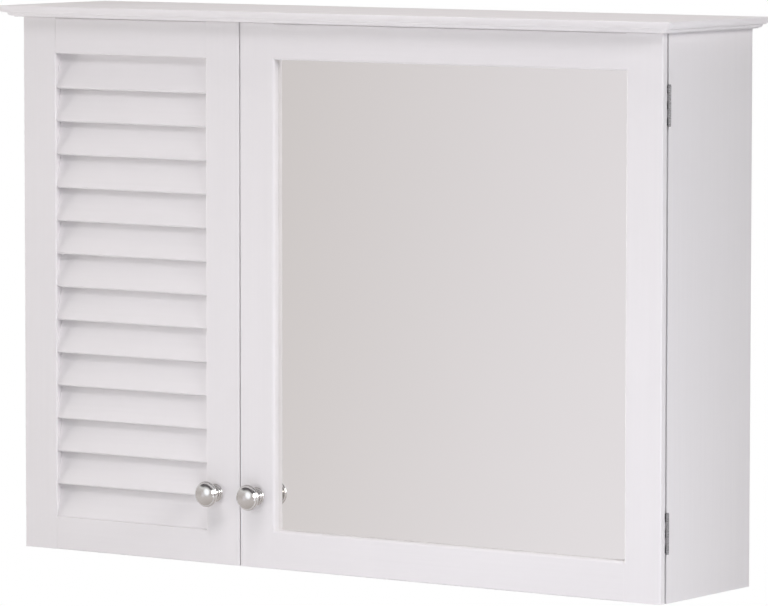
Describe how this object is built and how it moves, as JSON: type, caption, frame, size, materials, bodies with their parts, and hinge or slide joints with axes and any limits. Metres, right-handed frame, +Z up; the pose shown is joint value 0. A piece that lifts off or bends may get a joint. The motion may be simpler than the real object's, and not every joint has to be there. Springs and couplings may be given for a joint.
{
  "type": "bathroom mirror cabinet",
  "caption": "Wall-hung bathroom cabinet with a narrow louvred door, a wide framed mirror door, a moulded crown, shelves inside and turned knobs.",
  "frame": {"origin": "on the wall plane at the back, at the middle of the width and the bottom edge", "axes": "+X to the right seen from the front, +Y back into the wall, +Z up"},
  "size_m": [0.7436, 0.1725, 0.5115],
  "materials": {
    "painted_board": "satin white paint on smooth board",
    "painted_door": "satin white paint, faintly brushed along each member",
    "inside_board": "white melamine-faced board",
    "back_board": "thin hardboard, painted on one face",
    "clear_plastic": "clear moulded plastic",
    "white_plastic": "white moulded plastic",
    "steel": "nickel-plated steel",
    "chrome": "polished chrome plate",
    "mirror_glass": "silvered float glass with polished edges"
  },
  "bodies": {
    "carcass": {"back_panel": "back_board", "bottom_panel": "painted_board", "cam_fittings": "steel", "carcass_screws": "steel", "catch_louvre": "white_plastic", "catch_magnets": "steel", "catch_mirror": "white_plastic", "centre_partition": "inside_board", "crown_top": "painted_board", "door_bumpers": "clear_plastic", "hanging_rail": "inside_board", "hinge_pins": "steel", "hinge_screws": "steel", "louvre_hinge_lower_fixed_leaf": "steel", "louvre_hinge_upper_fixed_leaf": "steel", "mirror_hinge_lower_fixed_leaf": "steel", "mirror_hinge_upper_fixed_leaf": "steel", "shelf_left_lower": "inside_board", "shelf_left_upper": "inside_board", "shelf_pins": "clear_plastic", "shelf_right_lower": "inside_board", "shelf_right_upper": "inside_board", "side_left": "painted_board", "side_right": "painted_board", "top_panel": "painted_board"},
    "louvre_door": {"louvre_door_screws": "steel", "louvre_hinge_lower_door_leaf": "steel", "louvre_hinge_upper_door_leaf": "steel", "louvre_knob": "chrome", "louvre_rail_bottom": "painted_door", "louvre_rail_top": "painted_door", "louvre_stile_hinge": "painted_door", "louvre_stile_latch": "painted_door", "louvre_strike": "steel", "slat_01": "painted_door", "slat_02": "painted_door", "slat_03": "painted_door", "slat_04": "painted_door", "slat_05": "painted_door", "slat_06": "painted_door", "slat_07": "painted_door", "slat_08": "painted_door", "slat_09": "painted_door", "slat_10": "painted_door", "slat_11": "painted_door", "slat_12": "painted_door", "slat_13": "painted_door", "slat_14": "painted_door"},
    "mirror_door": {"mirror_backing": "back_board", "mirror_clips": "steel", "mirror_door_screws": "steel", "mirror_glass": "mirror_glass", "mirror_hinge_lower_door_leaf": "steel", "mirror_hinge_upper_door_leaf": "steel", "mirror_knob": "chrome", "mirror_rail_bottom": "painted_door", "mirror_rail_top": "painted_door", "mirror_stile_hinge": "painted_door", "mirror_stile_latch": "painted_door", "mirror_strike": "steel"}
  },
  "joints": [
    {"name": "louvre_door_hinge", "type": "hinge", "parent": "carcass", "child": "louvre_door", "pos_m": [-0.35575, -0.1419, 0], "axis": [0, 0, -1], "range_deg": [0, 180]},
    {"name": "mirror_door_hinge", "type": "hinge", "parent": "carcass", "child": "mirror_door", "pos_m": [0.35575, -0.1419, 0], "axis": [0, 0, 1], "range_deg": [0, 180]}
  ]
}
